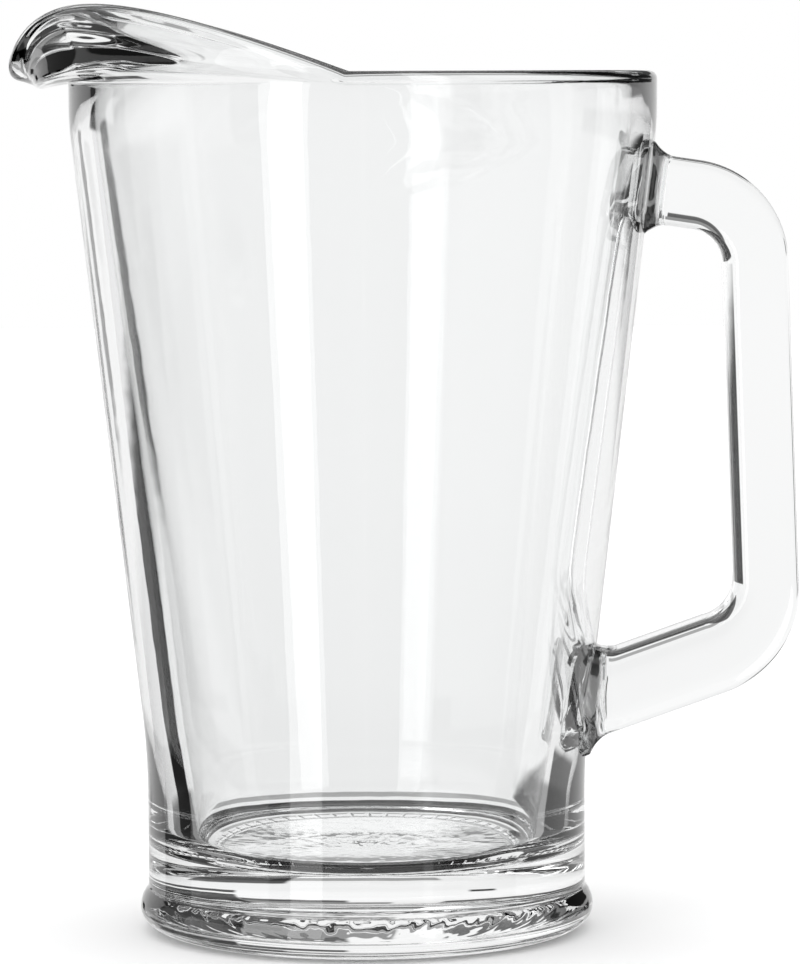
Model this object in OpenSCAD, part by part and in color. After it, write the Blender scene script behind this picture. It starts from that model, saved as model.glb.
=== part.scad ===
// Pressed glass beer pitcher with a raised spout and an applied handle.
// Millimetres, +Z up. The origin is on the table, on the axis of the body.
// The spout points along -X and the handle along +X.

/* [Body] */
// Outer diameter of the upright band under the rim
rim_d = 144.2; // [130:0.2:165]
// Height of the level rim above the table
rim_h = 211.5; // [195:0.5:235]
// Height of the upright band, measured down from the rim
band_h = 12.5; // [9:0.5:20]
// Thickness of the glass at the level rim
rim_wall = 4.4; // [3.5:0.1:6]
// Outer diameter of the upright collar above the foot
waist_d = 108; // [98:0.2:110]
// Radius of the curve from the upright collar into the flared wall
flare_r = 180; // [120:5:260]

/* [Base] */
// Largest diameter of the foot
foot_d = 112; // [111:0.2:118]
// Height of the foot's largest diameter
heel_h = 5.8; // [4:0.1:8]
// Height of the waist where the foot meets the collar
foot_h = 11.6; // [10:0.2:15]
// Outer diameter of the flat ring that stands on the table
bearing_d = 94; // [86:0.5:100]
// Width of the flat ring that stands on the table
bearing_w = 3.5; // [2.5:0.1:5]
// Height of the hollow under the base, at the centre
push_up_h = 2.6; // [1.5:0.1:5]
// Height of the floor inside the pitcher
floor_h = 19; // [16:0.5:24]
// Inside diameter where the wall would meet the floor without its fillet
floor_d = 84.8; // [76:0.2:88]
// Radius of the fillet between the wall and the floor
floor_fillet = 8; // [5:0.5:12]
// Height of the collar that stands above the floor fillet
collar_h = 6; // [3:0.5:9]

/* [Knurls] */
// Number of short radial grooves round the standing ring
knurl_count = 60; // [40:1:72]
// Width of a groove
knurl_w = 1.2; // [0.8:0.1:1.6]
// Length of a groove
knurl_len = 6; // [4:0.5:8]
// Unbroken part of the standing ring inside the grooves
knurl_inset = 1.6; // [1:0.1:2]

/* [Spout] */
// Height of the ring of glass that carries the rim and the spout
lip_h = 8; // [6:0.5:12]
// Thickness of the glass at the edge of the level rim
lip_edge = 4.4; // [3.6:0.1:5.2]
// Thickness of the glass at the edge of the spout's crests
crest_edge = 2.6; // [2.6:0.1:4.6]
// Thickness of the glass at the edge of the spout's tip
tip_edge = 6.5; // [4.4:0.1:7.6]
// Height of the spout's crests above the level rim
spout_rise = 17.2; // [12:0.1:22]
// Overhang of the spout's tip beyond the band
spout_reach = 14.7; // [10:0.1:19]
// Depth of the pouring channel below the crests
channel_depth = 12.8; // [8:0.1:16]
// Angle from the spout's centre line where the rim starts to rise
rise_start = 87; // [75:0.5:98]
// Angle from the spout's centre line where the rim reaches its crest
rise_end = 26.5; // [20:0.5:38]
// Angle that sets how wide the pouring channel is
channel_spread = 18.8; // [14:0.1:24]
// Angle that sets how wide the overhang is
reach_spread = 44.2; // [34:0.1:54]
// Slope of the spout's inner face, measured from upright
flare_slope = 50.2; // [34:0.1:56]
// Slope of the spout's tip, measured from level
tip_slope = 12; // [12:0.1:40]
// Direction of the crests' edge: 90 points straight up and more leans inwards
crest_lean = 80; // [80:0.1:102]
// Drop from the level rim to the mould's parting line, where the spout's underside starts
ledge_drop = 3.3; // [2.6:0.1:5]
// Width of the hollow beside the wall under the spout
notch_w = 0.8; // [0.8:0.1:3.6]
// Height of the hollow beside the wall under the spout
notch_h = 1.58; // [0.1:0.01:2]

/* [Handle] */
// Distance from the axis to the outermost face of the handle
handle_reach = 107.1; // [100:0.1:120]
// Thickness of the grip, seen from the side
grip_t = 15.8; // [13:0.1:18]
// Width of the handle across the grip
grip_w = 20; // [16:0.5:24]
// Thickness of the upper arm
upper_arm_t = 17; // [14:0.1:20]
// Thickness of the lower arm
lower_arm_t = 19; // [15:0.1:22]
// Height of the upper arm's centre where it meets the wall
upper_root_h = 182.7; // [172:0.1:186]
// Height of the lower arm's centre where it meets the wall
lower_root_h = 57.3; // [52:0.1:70]
// Slope of the upper arm, falling away from the wall
upper_slope = 8.6; // [0:0.1:14]
// Slope of the lower arm, rising away from the wall
lower_slope = 19.4; // [10:0.1:26]
// Lean of the grip, outwards as it goes down
grip_lean = 1.96; // [0:0.02:5]
// Centre line radius of the upper bend
upper_bend_r = 17; // [13:0.5:20]
// Centre line radius of the lower bend
lower_bend_r = 18.5; // [13:0.5:20]
// How far the roots swell where they are fused to the wall
root_flare = 2.6; // [1:0.1:4]
// Distance along an arm over which a root's swelling fades
root_fade = 3.2; // [2:0.1:5]

/* [Hidden] */

glass = [0.86, 0.92, 0.91, 0.45];
$fn = 96;

// What a cut runs past the face that it cuts
overrun = 1;

rim_r = rim_d / 2;
waist_r = waist_d / 2;
foot_r = foot_d / 2;
floor_r = floor_d / 2;
bearing_out_r = bearing_d / 2;
bearing_in_r = bearing_out_r - bearing_w;

band_z = rim_h - band_h;
lip_z = rim_h - lip_h;
base_h = floor_h + floor_fillet + collar_h;

// Taper of the outer wall: the line from the band's foot that touches the flare's arc
flare_in = flare_r - (rim_r - waist_r);
flare_up = band_z - base_h;
outer_taper = atan2(flare_up, flare_in) - acos(flare_r / norm([flare_in, flare_up]));
inner_taper = atan((rim_r - rim_wall - floor_r) / (rim_h - floor_h));

// Steps along the round stretches of an outline
arc_steps = 12;

// Share of the foot's upper curve that is convex; the rest is the hollow under the collar
bead_share = 0.78;
// Height of the hollow under the base beside the standing ring, as a share of its height at the centre
push_up_edge_share = 0.6;
// Width of the step from the standing ring up to the hollow, as a share of the ring's width
push_up_step_share = 0.4;

// Sections round the lip, and steps along each stretch of a section
lip_sections = 120;
lip_inner_steps = 5;
lip_shelf_steps = 9;
lip_edge_steps = 6;
// Powers of the bells that shape the overhang and the channel: 2 is a plain bell, more is squarer
reach_power = 1.92;
channel_power = 1.8;
// Direction of the level rim's edge
rim_lean = 80;
// How fast the edge turns from the channel's tip up to the crests
lean_power = 1.6;
// Height of the knee under the flared inner face, as a share of its limit
knee_share = 1.39;
// Place of the brow above the flared inner face, as shares of the height and the reach of the flare
brow_up_share = 0.47;
brow_out_share = 0.7;
brow_least_share = 0.05;
// Turn of the underside from upright on the centre line, and how it fades away from there
shelf_turn = 114;
shelf_turn_power = 0.45;
shelf_fade_power = 0.19;
// Fullness of the underside at its two ends, as shares of its length
shelf_leave_share = 0.9;
shelf_arrive_share = 0.68;
// Height of the hollow under the spout where the overhang ends, as a share of its full height
notch_least_share = 0.4;
// Fullness of the rounded edge, as a share of its thickness
edge_full_share = 0.64;

// Points round the handle's section, and its powers: 2 is an ellipse, more is squarer
handle_points = 32;
handle_outer_power = 9;
handle_inner_power = 7;
// Rings along each arm, each bend and the grip
arm_rings = 11;
bend_rings = 12;
grip_rings = 3;

function steps(n) = [for (i = [0 : n]) i / n];
function polar(r, a) = [r * cos(a), r * sin(a)];

// Outside radius of the body at a height above the foot
function outer_r(z) =
    z <= base_h ? waist_r
    : z <= base_h + flare_r * sin(outer_taper)
        ? waist_r + flare_r - sqrt(pow(flare_r, 2) - pow(z - base_h, 2))
    : z < band_z ? rim_r - (band_z - z) * tan(outer_taper)
    : rim_r;

// Inside radius of the body at a height above the floor fillet
function inner_r(z) = floor_r + (z - floor_h) * tan(inner_taper);

// Outline of the outside of the wall, from the collar up to the lip
function outer_outline() = concat(
    [for (s = steps(arc_steps))
        [waist_r + flare_r, base_h] + polar(flare_r, 180 - s * outer_taper)],
    band_z < lip_z ? [[rim_r, band_z]] : [],
    [[outer_r(lip_z), lip_z]]
);

// Outline of the foot, from the standing ring up to the waist
function foot_outline() =
    let (
        drop = foot_r - waist_r,
        rise = foot_h - heel_h,
        turn = 2 * atan(drop / rise),
        both_r = rise / sin(turn),
        bead_r = bead_share * both_r,
        hollow_r = both_r - bead_r
    )
    concat(
        [for (s = steps(arc_steps))
            [bearing_out_r + (foot_r - bearing_out_r) * sin(90 * s), heel_h * (1 - cos(90 * s))]],
        [for (s = steps(arc_steps))
            [foot_r - bead_r, heel_h] + polar(bead_r, s * turn)],
        [for (s = steps(arc_steps))
            [waist_r + hollow_r, foot_h] + polar(hollow_r, 180 + turn * (1 - s))]
    );

// Outline of the inside of the base, from the wall down the fillet to the floor
function floor_outline() =
    let (
        centre = [
            floor_r + floor_fillet * tan(inner_taper) - floor_fillet / cos(inner_taper),
            floor_h + floor_fillet
        ]
    )
    [for (s = steps(arc_steps))
        centre + polar(floor_fillet, -inner_taper - s * (90 - inner_taper))];

// Thick base: the foot, the hollow and grooves under it, and the floor inside
module foot_base() {
    step_r = bearing_in_r - push_up_step_share * bearing_w;
    groove_r = bearing_in_r + knurl_inset + knurl_len / 2;
    color(glass) difference() {
        rotate_extrude()
            polygon(concat(
                [[0, push_up_h], [step_r, push_up_edge_share * push_up_h], [bearing_in_r, 0]],
                foot_outline(),
                [[waist_r, base_h], [inner_r(base_h), base_h]],
                floor_outline(),
                [[0, floor_h]]
            ));
        for (i = [0 : knurl_count - 1])
            rotate([0, 0, 360 * i / knurl_count])
                translate([groove_r, 0, 0])
                    rotate([0, 90, 0])
                        cylinder(d = knurl_w, h = knurl_len, center = true);
    }
}

// Flared wall and the upright band above it
module wall() {
    color(glass) rotate_extrude()
        polygon(concat(
            outer_outline(),
            [[inner_r(lip_z), lip_z], [inner_r(base_h), base_h]]
        ));
}

// Share of the rim's rise at an angle from the spout's centre line
function rise_share(phi) = sin(90 * min(1, max(0, (rise_start - phi) / (rise_start - rise_end))));

// Bell-shaped share that is 1 on the spout's centre line
function bell_share(phi, spread, power) = exp(-pow(phi / spread, power));

// A point of the Bezier curve with these controls, and a run of such points
function bezier(p, s) =
    len(p) == 1 ? p[0] : bezier([for (i = [1 : len(p) - 1]) p[i - 1] * (1 - s) + p[i] * s], s);
function bezier_run(p, n, first = 0) = [for (i = [first : n]) bezier(p, i / n)];

// Inside of the lip: up the bowl's slope to the knee, out over the flare to the brow, then up to the edge
function lip_inside(inner_end, rise) =
    let (
        knee_z = lip_z + knee_share * lip_h * rise / (lip_h + rise),
        knee = [inner_r(knee_z), knee_z],
        run = inner_end - knee,
        flare = max(brow_least_share, run[0] / tan(flare_slope) / run[1]),
        out = max(brow_up_share, brow_out_share * min(1, brow_up_share / flare)),
        brow = knee + [run[0] * out, run[1] * min(brow_up_share, flare)],
        middle = (knee + brow) / 2
    )
    concat(
        bezier_run([[inner_r(lip_z), lip_z], knee, middle], lip_inner_steps),
        bezier_run([middle, brow, inner_end], lip_inner_steps, 1)
    );

// Outside of the lip: up the band to the parting line, then out over the spout's underside
function lip_outside(outer_end, lean, reach) =
    let (
        ledge = [rim_r, rim_h - ledge_drop],
        notch = ledge + [notch_w * reach, notch_h * (notch_least_share + (1 - notch_least_share) * reach)],
        leave = 90 - shelf_turn * pow(reach, shelf_turn_power),
        full = norm(outer_end - notch) * pow(reach, shelf_fade_power)
    )
    concat(
        [[rim_r, lip_z], ledge],
        bezier_run([
            notch,
            notch + polar(full * shelf_leave_share, leave),
            outer_end - polar(full * shelf_arrive_share, lean),
            outer_end
        ], lip_shelf_steps)
    );

// Closed section of the lip: up the outside, round the edge and down the inside
function lip_section(phi) =
    let (
        rise = rise_share(phi),
        reach = bell_share(phi, reach_spread, reach_power),
        channel = bell_share(phi, channel_spread, channel_power),
        crest = rise * (1 - channel),
        edge = lip_edge + (crest_edge - lip_edge) * crest + (tip_edge - lip_edge) * channel,
        lean = rim_lean + (crest_lean - rim_lean) * crest - (rim_lean - tip_slope) * pow(channel, lean_power),
        end = [
            rim_r - edge / 2 + spout_reach * reach,
            rim_h - edge / 2 + spout_rise * rise - channel_depth * channel
        ],
        outer_end = end + polar(edge / 2, lean - 90),
        inner_end = end + polar(edge / 2, lean + 90),
        round = polar(edge_full_share * edge, lean),
        around = bezier_run([outer_end, outer_end + round, inner_end + round, inner_end], lip_edge_steps),
        inside = lip_inside(inner_end, end[1] - lip_z)
    )
    concat(
        lip_outside(outer_end, lean, reach),
        [for (i = [1 : lip_edge_steps - 1]) around[i]],
        [for (i = [len(inside) - 1 : -1 : 0]) inside[i]]
    );

// Rim and spout: one closed ring whose section changes round the body
module spout_lip() {
    n = len(lip_section(0));
    points = [for (k = [0 : lip_sections - 1])
        let (a = 360 * k / lip_sections, phi = min(a, 360 - a))
        for (q = lip_section(phi)) [-q[0] * cos(a), -q[0] * sin(a), q[1]]];
    faces = [for (k = [0 : lip_sections - 1], j = [0 : n - 1])
        let (
            a = k * n + j,
            b = k * n + (j + 1) % n,
            c = ((k + 1) % lip_sections) * n + (j + 1) % n,
            d = ((k + 1) % lip_sections) * n + j
        )
        each [[a, b, c], [a, c, d]]];
    color(glass) polyhedron(points, faces, convexity = 6);
}

// Where two lines of the handle cross, each given as a point and a direction
function crossing(p, a, q, b) =
    let (d = q - p)
    p + [cos(a), sin(a)] * (d[0] * sin(b) - d[1] * cos(b)) / sin(b - a);

// Rings on the bend at a corner, turning clockwise from direction a to direction b
function bend_centre(corner, a, b, r) =
    corner - polar(r * tan((a - b) / 2), a) + polar(r, a - 90);

// The handle's centre line: each ring has its place, its direction, half its thickness and its swelling
function handle_rings() =
    let (
        down = grip_lean - 90,
        upper_dir = -upper_slope,
        lower_dir = lower_slope - 180,
        upper_root = [outer_r(upper_root_h), upper_root_h],
        lower_root = [outer_r(lower_root_h), lower_root_h],
        grip_low = [handle_reach - grip_t / 2, lower_root_h + lower_arm_t],
        upper_corner = crossing(upper_root, upper_dir, grip_low, down),
        lower_corner = crossing(grip_low, down, lower_root, lower_dir),
        upper_centre = bend_centre(upper_corner, upper_dir, down, upper_bend_r),
        lower_centre = bend_centre(lower_corner, down, lower_dir, lower_bend_r),
        upper_end = upper_centre + polar(upper_bend_r, upper_dir + 90),
        grip_start = upper_centre + polar(upper_bend_r, down + 90),
        grip_end = lower_centre + polar(lower_bend_r, down + 90),
        lower_start = lower_centre + polar(lower_bend_r, lower_dir + 90),
        upper_in = upper_root - polar(upper_arm_t / 2, upper_dir),
        lower_in = lower_root + polar(lower_arm_t / 2, lower_dir)
    )
    concat(
        [for (s = steps(arm_rings))
            let (p = upper_in + (upper_end - upper_in) * s)
            [p, upper_dir, upper_arm_t / 2, root_swell(p - upper_root, upper_dir)]],
        [for (k = [1 : bend_rings - 1])
            let (s = k / bend_rings, a = upper_dir + (down - upper_dir) * s)
            [upper_centre + polar(upper_bend_r, a + 90), a,
                (upper_arm_t + (grip_t - upper_arm_t) * s) / 2, 0]],
        [for (s = steps(grip_rings))
            [grip_start + (grip_end - grip_start) * s, down, grip_t / 2, 0]],
        [for (k = [1 : bend_rings - 1])
            let (s = k / bend_rings, a = down + (lower_dir - down) * s)
            [lower_centre + polar(lower_bend_r, a + 90), a,
                (grip_t + (lower_arm_t - grip_t) * s) / 2, 0]],
        [for (s = steps(arm_rings))
            let (p = lower_start + (lower_in - lower_start) * s)
            [p, lower_dir, lower_arm_t / 2, root_swell(lower_root - p, lower_dir)]]
    );

// Swelling of an arm at an offset from its root, fading along the arm and full inside the wall
function root_swell(offset, dir) =
    root_flare * exp(-max(0, offset * polar(1, dir)) / root_fade);

function signed_power(v, p) = sign(v) * pow(abs(v), p);

// The handle as it was before it was fused on: flat towards the body, round outside, and running into the
// body at both roots
module handle_bar() {
    rings = handle_rings();
    n = handle_points;
    count = len(rings);
    points = [for (ring = rings, k = [0 : n - 1])
        let (
            a = 360 * k / n,
            power = cos(a) < 0 ? handle_inner_power : handle_outer_power,
            across = (ring[2] + ring[3]) * signed_power(cos(a), 2 / power),
            side = (grip_w / 2 + ring[3]) * signed_power(sin(a), 2 / power),
            q = ring[0] + polar(across, ring[1] + 90)
        )
        [q[0], side, q[1]]];
    faces = concat(
        [for (i = [0 : count - 2], k = [0 : n - 1])
            let (
                a = i * n + k,
                b = i * n + (k + 1) % n,
                c = (i + 1) * n + (k + 1) % n,
                d = (i + 1) * n + k
            )
            each [[a, b, c], [a, c, d]]],
        [[for (k = [n - 1 : -1 : 0]) k]],
        [[for (k = [0 : n - 1]) (count - 1) * n + k]]
    );
    polyhedron(points, faces, convexity = 6);
}

// Applied handle, whose two roots are shaped to the wall
module handle() {
    color(glass) difference() {
        handle_bar();
        rotate_extrude()
            polygon(concat(
                [[0, foot_h], [waist_r, foot_h]],
                outer_outline(),
                [[rim_r, rim_h + overrun], [0, rim_h + overrun]]
            ));
    }
}

foot_base();
wall();
spout_lip();
handle();
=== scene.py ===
"""A pressed glass beer pitcher with an applied handle, in a plain bright studio. Metres, +Z up."""

import math

import bmesh
import bpy
import numpy as np
from mathutils import Euler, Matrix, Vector, noise


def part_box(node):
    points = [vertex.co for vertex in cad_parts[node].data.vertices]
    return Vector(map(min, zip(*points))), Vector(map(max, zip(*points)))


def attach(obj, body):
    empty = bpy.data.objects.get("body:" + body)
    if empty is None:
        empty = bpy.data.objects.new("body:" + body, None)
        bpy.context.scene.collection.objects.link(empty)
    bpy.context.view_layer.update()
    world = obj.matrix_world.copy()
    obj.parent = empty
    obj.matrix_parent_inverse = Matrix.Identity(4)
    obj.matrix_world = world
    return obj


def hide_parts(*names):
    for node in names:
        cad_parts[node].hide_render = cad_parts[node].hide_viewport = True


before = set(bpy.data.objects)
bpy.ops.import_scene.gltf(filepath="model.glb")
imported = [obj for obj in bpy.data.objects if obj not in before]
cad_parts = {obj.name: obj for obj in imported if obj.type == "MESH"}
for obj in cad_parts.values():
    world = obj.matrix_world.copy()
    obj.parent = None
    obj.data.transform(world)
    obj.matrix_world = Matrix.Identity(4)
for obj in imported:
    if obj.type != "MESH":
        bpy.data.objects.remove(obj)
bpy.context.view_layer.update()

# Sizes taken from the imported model; the rim leaves room in its box for the mould's parting line
SEAM_HEIGHT = 0.0001
BASE_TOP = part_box("foot_base")[1].z
FOOT_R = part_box("foot_base")[1].y
RIM_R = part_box("wall")[1].y - SEAM_HEIGHT
LIP_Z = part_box("spout_lip")[0].z
GRIP_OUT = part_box("handle")[1].x

# Sizes of the body
BAND_Z = 0.199
BAND_BLEND = 0.0045
RIM_WALL = 0.0044
WAIST_R = 0.0540
FLARE_R = 0.180
HEEL_Z = 0.0058
WAIST_Z = 0.0116
BEAD_SHARE = 0.78
BEARING_OUT = 0.047
BEARING_IN = 0.0435
PUSH_UP = 0.0026
PUSH_UP_EDGE = 0.0016
PUSH_UP_STEP = 0.0014
FLOOR_Z = 0.019
FLOOR_R = 0.0424
FLOOR_FILLET = 0.008

# Sizes of the rim and the spout; angles are in degrees from the spout's centre line
LIP_H = 0.008
RIM_Z = LIP_Z + LIP_H
SPOUT_RISE = 0.01714
SPOUT_REACH = 0.0147
LIP_EDGE = 0.0044
CREST_EDGE = 0.0026
TIP_EDGE = 0.0065
CHANNEL_DEPTH = 0.0128
RISE_START = 87
RISE_END = 26.5
CHANNEL_SPREAD = 18.8
CHANNEL_POWER = 1.8
REACH_SPREAD = 44.2
REACH_POWER = 1.92
RIM_LEAN = 80
CREST_LEAN = 80
TIP_SLOPE = 12
LEAN_POWER = 1.6
FLARE_SLOPE = 50.2
KNEE_SHARE = 1.39
BROW_UP = 0.47
BROW_OUT = 0.7
BROW_LEAST = 0.05
LEDGE_DROP = 0.0033
LEDGE_Z = RIM_Z - LEDGE_DROP
NOTCH_W = 0.0008
NOTCH_H = 0.00158
NOTCH_LEAST = 0.4
SHELF_TURN = 114
SHELF_TURN_POWER = 0.45
SHELF_FADE_POWER = 0.19
SHELF_LEAVE = 0.9
SHELF_ARRIVE = 0.68
EDGE_FULL = 0.64

# Sizes of the handle; slopes are in degrees, and a higher power makes a squarer section
GRIP_T = 0.0158
GRIP_W = 0.020
UPPER_ARM_T = 0.017
LOWER_ARM_T = 0.019
UPPER_ROOT_Z = 0.1827
LOWER_ROOT_Z = 0.0573
UPPER_SLOPE = 8.6
LOWER_SLOPE = 19.4
GRIP_LEAN = 1.96
UPPER_BEND_R = 0.017
LOWER_BEND_R = 0.0185
OUTER_POWER = 9
INNER_POWER = 4
ROOT_FLARE = 0.0030
ROOT_FADE = 0.0055
ROOT_DEPTH = 0.003
UPPER_INSET_SHARE = 0.24
LOWER_INSET_SHARE = 0.42

# Marks that the mould leaves in the glass
KNURLS = 60
KNURL_W = 0.0012
KNURL_DEPTH = 0.0004
KNURL_IN = 0.0451
KNURL_OUT = 0.0511
STIPPLE_DEPTH = 0.00006
STIPPLE_PITCH = 0.0022
STIPPLE_OUT = 0.0415
STIPPLE_FADE = 0.001
STIPPLE_GAIN = 2
STIPPLE_LOWEST = -0.4
SEAM_DROP = 0.0027
SEAM_Z = RIM_Z - SEAM_DROP
SEAM_HALF = 0.00035
SEAM_BREAK_PITCH = 0.03
SEAM_BREAK_MEAN = 0.5
SEAM_BREAK_GAIN = 1.6
RIPPLE = 0.00001
RIPPLE_PITCH = 0.034
RIPPLE_FADE = 0.03
RIPPLE_STRETCH = 0.45

# Seeds of the noise, each for one kind of mark, and how a seed moves the noise along X, Y and Z
OUTSIDE_SEED = 3.1
INSIDE_SEED = 8.4
SEAM_SEED = 5.5
STIPPLE_SEED = 1.2
HANDLE_SEED = 2.6
SEED_SPREAD = (1, 1.7, 2.3)

# Fineness of the meshes
AROUND = 720
STEP = 0.0012
WALL_STEP = STEP * 1.4
SAME_POINT = STEP * 0.02
ARC_LEAST = 6
LINE_LEAST = 2
HEEL_STEPS = 22
BAND_STEPS = 8
SHELF_STEPS = 30
EDGE_STEPS = 16
INNER_STEPS = 18
HANDLE_AROUND = 96
HANDLE_STEP = 0.0005
HANDLE_LEAST = 3
SLIVER = 0.00003
# The joint's face bulges in the body and in the handle by different amounts, so that the two never coincide
SEAT_BULGES = (0.0002, 0.0006)

OUTER_TAPER = math.atan2(BAND_Z - BASE_TOP, FLARE_R - RIM_R + WAIST_R) - math.acos(
    FLARE_R / math.hypot(FLARE_R - RIM_R + WAIST_R, BAND_Z - BASE_TOP)
)
INNER_TAPER = math.atan((RIM_R - RIM_WALL - FLOOR_R) / (RIM_Z - FLOOR_Z))


def polar(radius, degrees):
    """A point at that radius and angle, as a pair."""
    a = np.radians(degrees)
    return np.stack([radius * np.cos(a), radius * np.sin(a)], axis=-1)


def arc(centre, radius, start, end):
    """Points along an arc, from one angle to another in degrees, about half a step apart."""
    count = max(ARC_LEAST, int(abs(math.radians(end - start)) * radius / STEP * 2))
    return np.array(centre) + polar(radius, np.linspace(start, end, count))


def line(start, end):
    """Points along a straight line, about a step apart."""
    start, end = np.array(start), np.array(end)
    count = max(LINE_LEAST, int(np.linalg.norm(end - start) / STEP))
    return start + np.linspace(0, 1, count)[:, None] * (end - start)


def chain(*runs):
    """Joins runs of points, leaving out a point that repeats the one before it."""
    points = np.concatenate(runs)
    apart = np.linalg.norm(np.diff(points, axis=0), axis=1) > SAME_POINT
    return points[np.concatenate([[True], apart])]


def outer_radius(z):
    """Radius of the outside of the wall at a height above the foot."""
    z = np.asarray(z, float)
    flare = WAIST_R + FLARE_R - np.sqrt(FLARE_R**2 - np.clip(z - BASE_TOP, 0, FLARE_R / 2) ** 2)
    slope = math.tan(OUTER_TAPER)
    gap = z - BAND_Z
    rounded = -slope * (BAND_BLEND - gap) ** 2 / (4 * BAND_BLEND)
    top = np.where(gap < -BAND_BLEND, slope * gap, np.where(gap > BAND_BLEND, 0, rounded))
    return np.where(z <= BASE_TOP + FLARE_R * math.sin(OUTER_TAPER), flare, RIM_R + top)


def inner_radius(z):
    """Radius of the inside of the wall at a height above the floor's fillet."""
    return FLOOR_R + (z - FLOOR_Z) * math.tan(INNER_TAPER)


def outside_profile():
    """Radius and height along the outside, from the middle of the underside up to the lip."""
    turn = math.degrees(2 * math.atan((FOOT_R - WAIST_R) / (WAIST_Z - HEEL_Z)))
    both = (WAIST_Z - HEEL_Z) / math.sin(math.radians(turn))
    bead = BEAD_SHARE * both
    s = np.linspace(0, math.pi / 2, HEEL_STEPS)
    heel = np.stack(
        [BEARING_OUT + (FOOT_R - BEARING_OUT) * np.sin(s), HEEL_Z * (1 - np.cos(s))], axis=-1
    )
    z = np.arange(WAIST_Z, LIP_Z, WALL_STEP)
    wall = np.stack([outer_radius(z), z], axis=-1)
    return chain(
        line((STEP, PUSH_UP), (BEARING_IN - PUSH_UP_STEP, PUSH_UP_EDGE)),
        line((BEARING_IN - PUSH_UP_STEP, PUSH_UP_EDGE), (BEARING_IN, 0)),
        line((BEARING_IN, 0), (BEARING_OUT, 0)),
        heel,
        arc((FOOT_R - bead, HEEL_Z), bead, 0, turn),
        arc((WAIST_R + both - bead, WAIST_Z), both - bead, 180 + turn, 180),
        wall,
    )


def inside_profile():
    """Radius and height along the inside, from the lip down to the middle of the floor."""
    taper = math.degrees(INNER_TAPER)
    centre = (
        FLOOR_R + FLOOR_FILLET * (math.tan(INNER_TAPER) - 1 / math.cos(INNER_TAPER)),
        FLOOR_Z + FLOOR_FILLET,
    )
    z = np.arange(LIP_Z, FLOOR_Z + FLOOR_FILLET * (1 - math.sin(INNER_TAPER)), -WALL_STEP)[1:]
    wall = np.stack([inner_radius(z), z], axis=-1)
    return chain(
        wall,
        arc(centre, FLOOR_FILLET, -taper, -90),
        line((centre[0], FLOOR_Z), (STEP, FLOOR_Z)),
    )


def heading(degrees):
    """Unit vectors along those directions in a section, 0 outwards and 90 up."""
    return polar(1, degrees)


def bezier(controls, count):
    """Points along Bezier curves, one curve for each angle, with three or four controls."""
    t = np.linspace(0, 1, count)[None, :, None]
    order = len(controls) - 1
    return sum(
        math.comb(order, k) * t**k * (1 - t) ** (order - k) * c[:, None] for k, c in enumerate(controls)
    )


def lip_profile(degrees):
    """Radius and height round the lip's section, up the outside and down the inside, for each angle."""
    phi = np.minimum(degrees, 360 - degrees)
    rise = np.sin(np.radians(90 * np.clip((RISE_START - phi) / (RISE_START - RISE_END), 0, 1)))
    reach = np.exp(-((phi / REACH_SPREAD) ** REACH_POWER))
    channel = np.exp(-((phi / CHANNEL_SPREAD) ** CHANNEL_POWER))
    crest = rise * (1 - channel)
    thick = LIP_EDGE + (CREST_EDGE - LIP_EDGE) * crest + (TIP_EDGE - LIP_EDGE) * channel
    lean = RIM_LEAN + (CREST_LEAN - RIM_LEAN) * crest - (RIM_LEAN - TIP_SLOPE) * channel**LEAN_POWER

    def pair(r, z):
        return np.stack([r + 0 * phi, z + 0 * phi], axis=-1)

    end = pair(
        RIM_R - thick / 2 + SPOUT_REACH * reach,
        RIM_Z - thick / 2 + SPOUT_RISE * rise - CHANNEL_DEPTH * channel,
    )
    inner_end = end + heading(lean + 90) * thick[:, None] / 2
    outer_end = end + heading(lean - 90) * thick[:, None] / 2

    # Outside: up the band to the mould's parting line, then out over the spout's underside
    low, ledge = pair(RIM_R, LIP_Z), pair(RIM_R, LEDGE_Z)
    notch = ledge + pair(NOTCH_W * reach, NOTCH_H * (NOTCH_LEAST + (1 - NOTCH_LEAST) * reach))
    leave = heading(90 - SHELF_TURN * reach**SHELF_TURN_POWER)
    full = (np.linalg.norm(outer_end - notch, axis=-1) * reach**SHELF_FADE_POWER)[:, None]
    band = bezier((low, (low + ledge) / 2, ledge), BAND_STEPS)
    leaving = notch + leave * full * SHELF_LEAVE
    arriving = outer_end - heading(lean) * full * SHELF_ARRIVE
    shelf = bezier((notch, leaving, arriving, outer_end), SHELF_STEPS)
    round_by = heading(lean) * thick[:, None] * EDGE_FULL
    edge = bezier((outer_end, outer_end + round_by, inner_end + round_by, inner_end), EDGE_STEPS)

    # Inside: up the bowl's slope to the knee, out over the flare to the brow, then up to the edge
    high, ring = end[:, 1] - LIP_Z, LIP_H
    knee_z = LIP_Z + KNEE_SHARE * ring * high / (ring + high)
    knee = pair(inner_radius(knee_z), knee_z)
    run = inner_end - knee
    flare = np.maximum(BROW_LEAST, run[:, 0] / math.tan(math.radians(FLARE_SLOPE)) / run[:, 1])
    out = np.maximum(BROW_UP, BROW_OUT * np.minimum(1, BROW_UP / flare))
    brow = knee + run * pair(out, np.minimum(BROW_UP, flare))
    middle = (knee + brow) / 2
    inside = np.concatenate(
        [
            bezier((pair(inner_radius(LIP_Z), LIP_Z), knee, middle), INNER_STEPS),
            bezier((middle, brow, inner_end), INNER_STEPS)[:, 1:],
        ],
        axis=1,
    )
    return np.concatenate([band, shelf, edge[:, 1:-1], inside[:, ::-1]], axis=1)


def wave(points, pitch, seed):
    """Smooth noise from -1 to 1 at each point, the same each run."""
    offset = Vector([seed * spread for spread in SEED_SPREAD])
    flat = points.reshape(-1, 3) / pitch
    values = [noise.noise(Vector(p) + offset) for p in flat]
    return np.array(values).reshape(points.shape[:-1])


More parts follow.
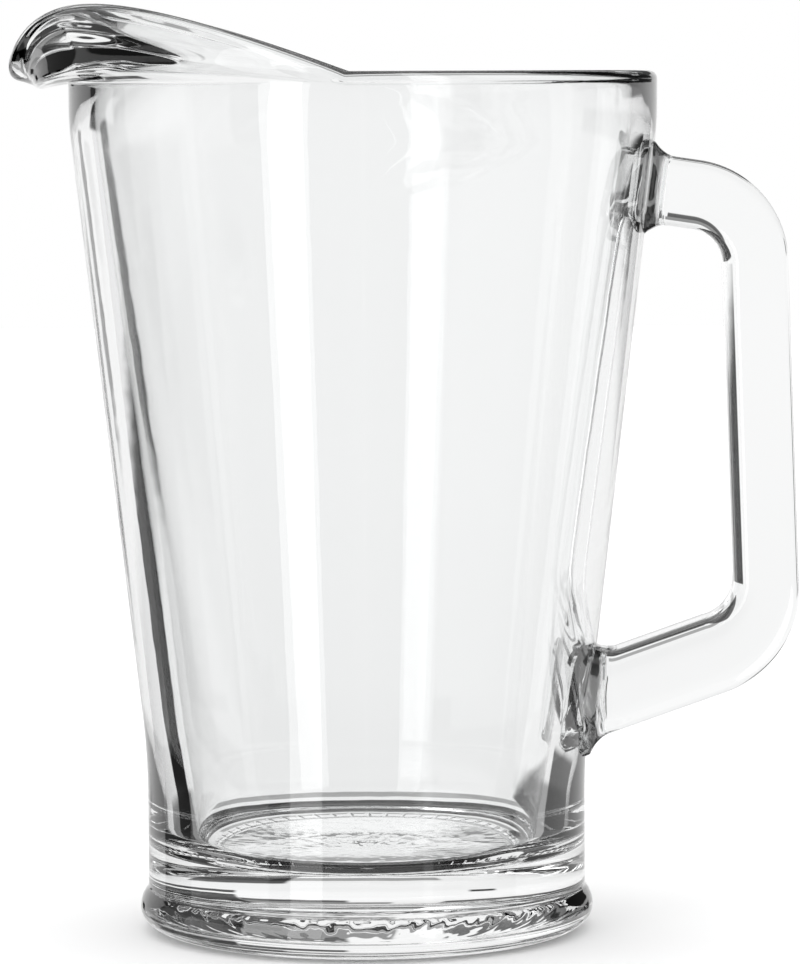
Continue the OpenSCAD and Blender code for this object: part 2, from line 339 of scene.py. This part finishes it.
def bell(value, half):
    """A smooth bump, 1 at zero and about a third at half its width."""
    return np.exp(-((value / half) ** 2))


def ripples(points, height, on_outside):
    """How far long shallow ripples move the wall out, outside and inside apart."""
    on_wall = np.clip((height - WAIST_Z) / RIPPLE_FADE, 0, 1)
    stretched = points * np.array([1, 1, RIPPLE_STRETCH])
    outer, inner = (wave(stretched, RIPPLE_PITCH, seed) for seed in (OUTSIDE_SEED, INSIDE_SEED))
    return RIPPLE * on_wall * np.where(on_outside, outer, inner)


def seam(points, height, on_outside):
    """How far the broken line stands out where the lip's ring met the mould."""
    uneven = wave(points, SEAM_BREAK_PITCH, SEAM_SEED)
    broken = np.clip(SEAM_BREAK_MEAN + SEAM_BREAK_GAIN * uneven, 0, 1)
    return np.where(on_outside, SEAM_HEIGHT * broken * bell(height - SEAM_Z, SEAM_HALF), 0)


def grooved(radius, height, degrees, below):
    """Heights with the radial grooves cut into the standing ring."""
    pitch = 360 / KNURLS
    off_groove = np.abs((degrees[:, None] + pitch / 2) % pitch - pitch / 2)
    off_groove = np.radians(off_groove) * radius
    in_reach = (radius > KNURL_IN) & (radius < KNURL_OUT) & below
    groove = np.sqrt(np.clip(1 - (off_groove / (KNURL_W / 2)) ** 2, 0, 1)) * in_reach
    return np.where(groove > 0, np.maximum(height, KNURL_DEPTH * groove), height)


def stippled(points, radius, below):
    """How far the stipple inside the standing ring moves the underside up."""
    uneven = wave(points, STIPPLE_PITCH, STIPPLE_SEED)
    stipple = np.clip(uneven * STIPPLE_GAIN, STIPPLE_LOWEST, 1) * below
    return STIPPLE_DEPTH * stipple * np.clip((STIPPLE_OUT - radius) / STIPPLE_FADE, 0, 1)


def body_points():
    """The body's points as rings: one row for each angle, one column for each place along the profile."""
    degrees = np.arange(AROUND) * 360 / AROUND
    outside, inside = outside_profile(), inside_profile()
    rows = [np.broadcast_to(p, (AROUND, *p.shape)) for p in (outside, inside)]
    profile = np.concatenate([rows[0], lip_profile(degrees), rows[1]], axis=1)
    a = np.radians(degrees)[:, None]

    def place(rz):
        return np.stack([-rz[..., 0] * np.cos(a), -rz[..., 0] * np.sin(a), rz[..., 1]], axis=-1)

    points = place(profile)
    radius, height = profile[..., 0], profile[..., 1]
    column = np.arange(profile.shape[1])
    on_outside = column < len(outside) + BAND_STEPS + SHELF_STEPS
    below = column < np.argmax(outside[:, 0]) + 1
    radius = radius + ripples(points, height, on_outside) + seam(points, height, on_outside)
    height = grooved(radius, height, degrees, below) + stippled(points, radius, below)
    return place(np.stack([radius, height], axis=-1))


def body_mesh():
    """Closed mesh of the pressed body: foot, wall, lip and inside."""
    points = body_points()
    rows, columns = points.shape[:2]
    poles = np.array([[0, 0, PUSH_UP], [0, 0, FLOOR_Z]])
    index = np.arange(rows * columns).reshape(rows, columns)
    after = np.roll(index, -1, axis=0)
    quads = np.stack([index[:, :-1], index[:, 1:], after[:, 1:], after[:, :-1]], axis=-1)
    faces = quads.reshape(-1, 4).tolist()
    under, floor = rows * columns, rows * columns + 1
    faces += [[under, int(i), int(j)] for i, j in zip(index[:, 0], after[:, 0])]
    faces += [[floor, int(j), int(i)] for i, j in zip(index[:, -1], after[:, -1])]
    mesh = bpy.data.meshes.new("glass_body")
    mesh.from_pydata(np.concatenate([points.reshape(-1, 3), poles]).tolist(), [], faces)
    mesh.validate()
    return mesh


def crossing(p, a, q, b):
    """Where two lines cross, each given as a point and a direction in degrees."""
    d = np.array(q) - np.array(p)
    reach = d[0] * math.sin(math.radians(b)) - d[1] * math.cos(math.radians(b))
    return np.array(p) + polar(1, a) * reach / math.sin(math.radians(b - a))


def handle_line():
    """Rings along the handle: place in the XZ plane, direction in degrees and half the thickness."""
    down, upper, lower = GRIP_LEAN - 90, -UPPER_SLOPE, LOWER_SLOPE - 180
    upper_root = np.array([float(outer_radius(UPPER_ROOT_Z)), UPPER_ROOT_Z])
    lower_root = np.array([float(outer_radius(LOWER_ROOT_Z)), LOWER_ROOT_Z])
    grip = np.array([GRIP_OUT - GRIP_T / 2, LOWER_ROOT_Z + LOWER_ARM_T])
    corners = crossing(upper_root, upper, grip, down), crossing(grip, down, lower_root, lower)
    bends = (corners[0], upper, down, UPPER_BEND_R), (corners[1], down, lower, LOWER_BEND_R)
    centres = [
        corner - polar(r * math.tan(math.radians(a - b) / 2), a) + polar(r, a - 90)
        for corner, a, b, r in bends
    ]
    ends = [(m + polar(r, a + 90), m + polar(r, b + 90)) for m, (_, a, b, r) in zip(centres, bends)]
    upper_in = upper_root - polar(UPPER_ARM_T * UPPER_INSET_SHARE, upper)
    lower_in = lower_root + polar(LOWER_ARM_T * LOWER_INSET_SHARE, lower)

    def straight(p, q, direction, t):
        count = max(HANDLE_LEAST, int(np.linalg.norm(q - p) / HANDLE_STEP))
        return [(p + (q - p) * s, direction, t / 2) for s in np.linspace(0, 1, count)]

    def bend(centre, r, a, b, t0, t1):
        count = max(HANDLE_LEAST, int(math.radians(a - b) * r / HANDLE_STEP))
        shares = np.linspace(0, 1, count)[1:-1]
        return [
            (centre + polar(r, a + (b - a) * s + 90), a + (b - a) * s, (t0 + (t1 - t0) * s) / 2)
            for s in shares
        ]

    return (
        straight(upper_in, ends[0][0], upper, UPPER_ARM_T)
        + bend(centres[0], UPPER_BEND_R, upper, down, UPPER_ARM_T, GRIP_T)
        + straight(ends[0][1], ends[1][0], down, GRIP_T)
        + bend(centres[1], LOWER_BEND_R, down, lower, GRIP_T, LOWER_ARM_T)
        + straight(ends[1][1], lower_in, lower, LOWER_ARM_T)
    )


def keep_in_wall(points):
    """The points, with those under the wall's outside drawn up to it so that none comes out in the bowl."""
    radius, wall = np.hypot(points[:, 0], points[:, 1]), outer_radius(points[:, 2])
    depth = np.clip(wall - radius, 0, None)
    held = ROOT_DEPTH * (1 - np.exp(-depth / ROOT_DEPTH))
    share = (radius + depth - held) / radius
    return points * np.stack([share, share, np.ones_like(share)], axis=-1)


def handle_mesh():
    """Closed mesh of the handle, rounder inside its loop than outside, run into the wall at both roots."""
    a = np.linspace(0, 2 * math.pi, HANDLE_AROUND, endpoint=False)
    power = np.where(np.cos(a) < 0, INNER_POWER, OUTER_POWER)
    unit = np.stack([np.sign(f) * np.abs(f) ** (2 / power) for f in (np.cos(a), np.sin(a))], axis=-1)
    rings = []
    for place, direction, half in handle_line():
        side = polar(1, direction + 90)
        out = np.stack([unit[:, 0] * side[0], unit[:, 1], unit[:, 0] * side[1]], axis=-1)
        size = np.stack([unit[:, 0] * half, unit[:, 1] * GRIP_W / 2], axis=-1)
        x, z = place[0] + size[:, 0] * side[0], place[1] + size[:, 0] * side[1]
        ring = np.stack([x, size[:, 1], z], axis=-1)
        clear = np.hypot(ring[:, 0], ring[:, 1]) - outer_radius(ring[:, 2])
        swell = ROOT_FLARE * np.clip(1 - np.clip(clear, 0, None) / ROOT_FADE, 0, 1) ** 2
        rings.append(keep_in_wall(ring + out * swell[:, None]))
    points = np.array(rings)
    points[..., 1] += RIPPLE * wave(points, RIPPLE_PITCH / 2, HANDLE_SEED)
    count = len(rings)
    index = np.arange(count * HANDLE_AROUND).reshape(count, HANDLE_AROUND)
    after = np.roll(index, -1, axis=1)
    faces = np.stack([index[:-1], after[:-1], after[1:], index[1:]], axis=-1).reshape(-1, 4).tolist()
    faces += [index[0, ::-1].tolist(), index[-1].tolist()]
    mesh = bpy.data.meshes.new("glass_handle")
    mesh.from_pydata(points.reshape(-1, 3).tolist(), [], faces)
    mesh.validate()
    return mesh


def add_object(name, mesh):
    """A new object of that mesh in the scene."""
    obj = bpy.data.objects.new(name, mesh)
    bpy.context.scene.collection.objects.link(obj)
    return obj


def fuse(body, handle):
    """The one skin of both: the handle's faces are numbered 1 and the body's 0."""
    mark = [bpy.data.materials.new(n) for n in ("mark_body", "mark_handle")]
    for obj, number in ((body, 0), (handle, 1)):
        for m in mark:
            obj.data.materials.append(m)
        obj.data.polygons.foreach_set("material_index", [number] * len(obj.data.polygons))
    join = body.modifiers.new("fuse", "BOOLEAN")
    join.operation = "UNION"
    join.solver = "EXACT"
    join.object = handle
    graph = bpy.context.evaluated_depsgraph_get()
    skin = bpy.data.meshes.new_from_object(body.evaluated_get(graph))
    for obj in (body, handle):
        bpy.data.objects.remove(obj)
    return skin


def part_of_skin(skin, number, name):
    """One piece of the fused skin, closed where it is fused to the other with faces of its second slot."""
    bm = bmesh.new()
    bm.from_mesh(skin)
    bmesh.ops.remove_doubles(bm, verts=bm.verts, dist=SLIVER)
    bmesh.ops.dissolve_degenerate(bm, edges=bm.edges, dist=SLIVER)
    away = [f for f in bm.faces if f.material_index != number]
    bmesh.ops.delete(bm, geom=away, context="FACES")
    for f in bm.faces:
        f.material_index = 0
        f.smooth = True
    rim = [e for e in bm.edges if e.is_boundary]
    for e in rim:
        e.smooth = False
    seats = bmesh.ops.holes_fill(bm, edges=rim, sides=0)["faces"]
    seats = bmesh.ops.poke(bm, faces=seats, offset=SEAT_BULGES[number])["faces"]
    for f in seats:
        f.material_index = 1
        f.smooth = False
    bmesh.ops.recalc_face_normals(bm, faces=bm.faces)
    mesh = bpy.data.meshes.new(name)
    bm.to_mesh(mesh)
    bm.free()
    return mesh


# The glass; each noise has a scale, in waves per metre, and a detail
GLASS_IOR = 1.52
STRIAE = (18, 2)
STRIAE_COLOURS = ((0.975, 0.98, 0.98, 1), (0.99, 0.995, 0.995, 1))
HAZE = (55, 4)
HAZE_FROM = 0.5
HAZE_ROUGHNESS = 0.03
BUMPS = (120, 1)
BUMP_STRENGTH = 0.04
BUMP_HEIGHT = 0.0004
# Share of the light that gets through each face of the joint: painted shade, a grey sheet standing in for
# the shade that refraction at the roots' fillets gives
JOINT_SHADE_CLEAR = 0.42


def nodes_of(owner):
    """The nodes and links of a material or world, emptied."""
    owner.use_nodes = True
    owner.node_tree.nodes.clear()
    return owner.node_tree.nodes, owner.node_tree.links


def glass_material():
    """Clear pressed glass: faint striae in its colour, a little haze in its polish and a fine ripple."""
    material = bpy.data.materials.new("clear_glass")
    nodes, links = nodes_of(material)
    out = nodes.new("ShaderNodeOutputMaterial")
    shader = nodes.new("ShaderNodeBsdfPrincipled")
    shader.inputs["Transmission Weight"].default_value = 1
    shader.inputs["IOR"].default_value = GLASS_IOR
    links.new(shader.outputs["BSDF"], out.inputs["Surface"])
    where = nodes.new("ShaderNodeTexCoord")

    def mottle(scale, detail):
        texture = nodes.new("ShaderNodeTexNoise")
        texture.inputs["Scale"].default_value = scale
        texture.inputs["Detail"].default_value = detail
        links.new(where.outputs["Object"], texture.inputs["Vector"])
        return texture.outputs["Fac"]

    tint = nodes.new("ShaderNodeValToRGB")
    for element, colour in zip(tint.color_ramp.elements, STRIAE_COLOURS):
        element.color = colour
    links.new(mottle(*STRIAE), tint.inputs["Fac"])
    links.new(tint.outputs["Color"], shader.inputs["Base Color"])
    polish = nodes.new("ShaderNodeMapRange")
    polish.inputs["From Min"].default_value = HAZE_FROM
    polish.inputs["To Max"].default_value = HAZE_ROUGHNESS
    links.new(mottle(*HAZE), polish.inputs["Value"])
    links.new(polish.outputs["Result"], shader.inputs["Roughness"])
    bump = nodes.new("ShaderNodeBump")
    bump.inputs["Strength"].default_value = BUMP_STRENGTH
    bump.inputs["Distance"].default_value = BUMP_HEIGHT
    links.new(mottle(*BUMPS), bump.inputs["Height"])
    links.new(bump.outputs["Normal"], shader.inputs["Normal"])
    return material


def joint_shade_material():
    """Painted shade at the fused joint inside the glass: grey faces that hold back some of the light that
    crosses them, standing in for the shade that refraction at the roots' fillets gives.
    """
    material = bpy.data.materials.new("fused_joint_painted_shade")
    nodes, links = nodes_of(material)
    out = nodes.new("ShaderNodeOutputMaterial")
    clear = nodes.new("ShaderNodeBsdfTransparent")
    clear.inputs["Color"].default_value = (JOINT_SHADE_CLEAR, JOINT_SHADE_CLEAR, JOINT_SHADE_CLEAR, 1)
    links.new(clear.outputs["BSDF"], out.inputs["Surface"])
    return material


def make_pitcher():
    """The body and the handle, fused into one skin and parted again along the joint."""
    body = add_object("body_blank", body_mesh())
    handle = add_object("handle_blank", handle_mesh())
    skin = fuse(body, handle)
    # The joint's faces take the painted shade in the second slot
    glass, joint_shade = glass_material(), joint_shade_material()
    for number, name in enumerate(("glass_body", "glass_handle")):
        mesh = part_of_skin(skin, number, name)
        mesh.materials.clear()
        mesh.materials.append(glass)
        mesh.materials.append(joint_shade)
        piece = add_object(name, mesh)
        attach(piece, "root")
    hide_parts("foot_base", "wall", "spout_lip")
    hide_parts("handle")


# The studio; directions are in degrees from straight behind the pitcher, to the right and up
FLOOR_SIZE = 6.0
FLOOR_COLOUR = (0.9, 0.9, 0.9, 1)
FLOOR_LIGHT = 1.45
# Dark flags: left, right, low and high edge, and the share of light left there
FLAGS = {
    "beside the grip": (25, 85, -7, -1.6, 0.04),
    "above the grip": (25, 90, 2, 55, 0.05),
    "below the lower arm": (15, 45, -45, -18, 0.1),
    "above the upper arm": (3, 25, 10, 17, 0.12),
    "high strip behind": (-5, 30, 17, 26, 0.3),
    "high strip on the left": (-135, -15, 17, 27, 0.15),
    "low strip behind": (-15, 80, -30, -23, 0.4),
    "low strip for the floor's edge": (-30, 20, -45, -36, 0.02),
    "small one for the left wall": (-25, -19, -8, -4, 0.02),
    # Painted shadow: the ground below the pitcher drawn nearly black, standing in for the floor in the
    # pitcher's shade, which the glass sees here instead of the floor
    "table": (-180, 180, -88, -45, 0.02),
}
# Flags shown only to light that has also been reflected, as it is inside thick glass
INNER_FLAGS = {
    "left, level": (-75, -48, -13, 35, 0.2),
    "left, low": (-85, -57, -38, -10, 0.02),
    "left wall": (-50, -35, -32, -10, 0.02),
    "left, grey skirt": (-70, -25, -43, -24, 0.25),
    "far left": (-140, -60, -35, -12, 0.4),
    "far right": (95, 145, -25, 22, 0.3),
    "front left edge": (-140, -128, -12, 0, 0.1),
    "front right edge": (128, 140, -12, 0, 0.1),
    "front, left half": (-180, -150, -50, 30, 0.45),
    "front, right half": (150, 180, -50, 30, 0.45),
}
# Half the width of a flag's soft edge
FLAG_SOFT = 0.8
# The surroundings fade to this brightness, from the first height to the second
BACK_LOW = 0.93
BACK_FADE = (-3, -12)
SOFTBOX_AT = (-0.62, -1.05, 0.25)
SOFTBOX_SIZE = (0.36, 1.7)
SOFTBOX_STRENGTH = 2.5


def make_floor():
    """A pale floor that takes the shadow; the glass shows the white surroundings instead of it."""
    mesh = bpy.data.meshes.new("floor")
    h = FLOOR_SIZE / 2
    mesh.from_pydata([(-h, -h, 0), (h, -h, 0), (h, h, 0), (-h, h, 0)], [], [(0, 1, 2, 3)])
    floor = add_object("floor", mesh)
    material = bpy.data.materials.new("floor")
    nodes, links = nodes_of(material)
    out = nodes.new("ShaderNodeOutputMaterial")
    shader = nodes.new("ShaderNodeBsdfDiffuse")
    shader.inputs["Color"].default_value = FLOOR_COLOUR
    links.new(shader.outputs["BSDF"], out.inputs["Surface"])
    mesh.materials.append(material)
    floor.visible_glossy = False
    floor.visible_transmission = False


def make_world():
    """White all round, with dark flags that the glass shows at its edges; the camera sees plain white."""
    world = bpy.data.worlds.new("studio")
    bpy.context.scene.world = world
    nodes, links = nodes_of(world)
    out = nodes.new("ShaderNodeOutputWorld")
    where = nodes.new("ShaderNodeTexCoord")
    split = nodes.new("ShaderNodeSeparateXYZ")
    links.new(where.outputs["Generated"], split.inputs["Vector"])

    def plug(value, socket):
        if isinstance(value, (int, float)):
            socket.default_value = value
        else:
            links.new(value, socket)

    def math_node(kind, *values):
        node = nodes.new("ShaderNodeMath")
        node.operation = kind
        for value, socket in zip(values, node.inputs):
            plug(value, socket)
        return node.outputs[0]

    def step(value, start, end, low=0, high=1):
        node = nodes.new("ShaderNodeMapRange")
        node.interpolation_type = "SMOOTHSTEP"
        names = ("Value", "From Min", "From Max", "To Min", "To Max")
        for name, v in zip(names, (value, start, end, low, high)):
            plug(v, node.inputs[name])
        return node.outputs["Result"]

    def within(value, low, high):
        rise = step(value, low - FLAG_SOFT, low + FLAG_SOFT)
        fall = step(value, high - FLAG_SOFT, high + FLAG_SOFT, 1, 0)
        return math_node("MULTIPLY", rise, fall)

    to_degrees = 180 / math.pi
    turn = math_node("MULTIPLY", math_node("ARCTAN2", split.outputs["X"], split.outputs["Y"]), to_degrees)
    height = math_node("MULTIPLY", math_node("ARCSINE", split.outputs["Z"]), to_degrees)
    bright = step(height, BACK_FADE[1], BACK_FADE[0], BACK_LOW, 1)
    path = nodes.new("ShaderNodeLightPath")
    reflected = math_node("MINIMUM", path.outputs["Glossy Depth"], 1)
    shown = [(flag, 1) for flag in FLAGS.values()] + [(flag, reflected) for flag in INNER_FLAGS.values()]
    for (left, right, low, high, value), seen in shown:
        share = math_node("MULTIPLY", within(turn, left, right), within(height, low, high))
        kept = math_node("MULTIPLY_ADD", math_node("MULTIPLY", share, seen), value - 1, 1)
        bright = math_node("MULTIPLY", bright, kept)
    around = nodes.new("ShaderNodeBackground")
    links.new(bright, around.inputs["Color"])
    plain = nodes.new("ShaderNodeBackground")
    plain.inputs["Color"].default_value = (1, 1, 1, 1)
    on_floor = path.outputs["Is Diffuse Ray"]
    plug(math_node("MULTIPLY_ADD", on_floor, FLOOR_LIGHT - 1, 1), plain.inputs["Strength"])
    mix = nodes.new("ShaderNodeMixShader")
    plug(math_node("MAXIMUM", path.outputs["Is Camera Ray"], on_floor), mix.inputs["Fac"])
    links.new(around.outputs["Background"], mix.inputs[1])
    links.new(plain.outputs["Background"], mix.inputs[2])
    links.new(mix.outputs["Shader"], out.inputs["Surface"])


def make_softbox():
    """A tall soft box, front left, whose reflections run down the wall."""
    w, h = SOFTBOX_SIZE[0] / 2, SOFTBOX_SIZE[1] / 2
    mesh = bpy.data.meshes.new("softbox")
    mesh.from_pydata([(-w, 0, -h), (w, 0, -h), (w, 0, h), (-w, 0, h)], [], [(0, 1, 2, 3)])
    box = add_object("softbox", mesh)
    box.location = SOFTBOX_AT
    box.rotation_euler = Euler((0, 0, math.atan2(-SOFTBOX_AT[0], SOFTBOX_AT[1])))
    material = bpy.data.materials.new("softbox")
    nodes, links = nodes_of(material)
    out = nodes.new("ShaderNodeOutputMaterial")
    light = nodes.new("ShaderNodeEmission")
    light.inputs["Strength"].default_value = SOFTBOX_STRENGTH
    links.new(light.outputs["Emission"], out.inputs["Surface"])
    mesh.materials.append(material)
    box.visible_camera = False


# The photograph's viewpoint, in the 800 by 964 frame
FRAME_PX = (800, 964)
MM_PER_PX = 0.2472
AXIS_PX = 365.0
FOOT_PX = 929.0
CAMERA_AWAY = 1.24
CAMERA_HIGH = 0.210
CAMERA_ROLL = -0.26
SENSOR_MM = 36

# How often light may bounce; few reflections let light caught in thick glass die away
BOUNCES = 24
GLOSSY_BOUNCES = 4


def make_camera():
    """The photograph's camera, aimed at the middle of its frame."""
    scale = MM_PER_PX / 1000
    aim = Vector(((FRAME_PX[0] / 2 - AXIS_PX) * scale, 0, (FOOT_PX - FRAME_PX[1] / 2) * scale))
    data = bpy.data.cameras.new("camera")
    camera = bpy.data.objects.new("camera", data)
    bpy.context.scene.collection.objects.link(camera)
    camera.location = (aim.x, -CAMERA_AWAY, CAMERA_HIGH)
    toward = aim - camera.location
    turn = toward.to_track_quat("-Z", "Y").to_euler()
    turn.rotate_axis("Z", math.radians(CAMERA_ROLL))
    camera.rotation_euler = turn
    tall = FRAME_PX[1] * scale * math.cos(math.atan2(CAMERA_HIGH - aim.z, CAMERA_AWAY))
    data.sensor_width = SENSOR_MM
    data.lens = data.sensor_width * toward.length / tall
    bpy.context.scene.camera = camera


make_camera()
make_pitcher()
make_floor()
make_world()
make_softbox()

scene = bpy.context.scene
scene.view_settings.view_transform = "Standard"
scene.cycles.max_bounces = BOUNCES
scene.cycles.transmission_bounces = BOUNCES
scene.cycles.glossy_bounces = GLOSSY_BOUNCES
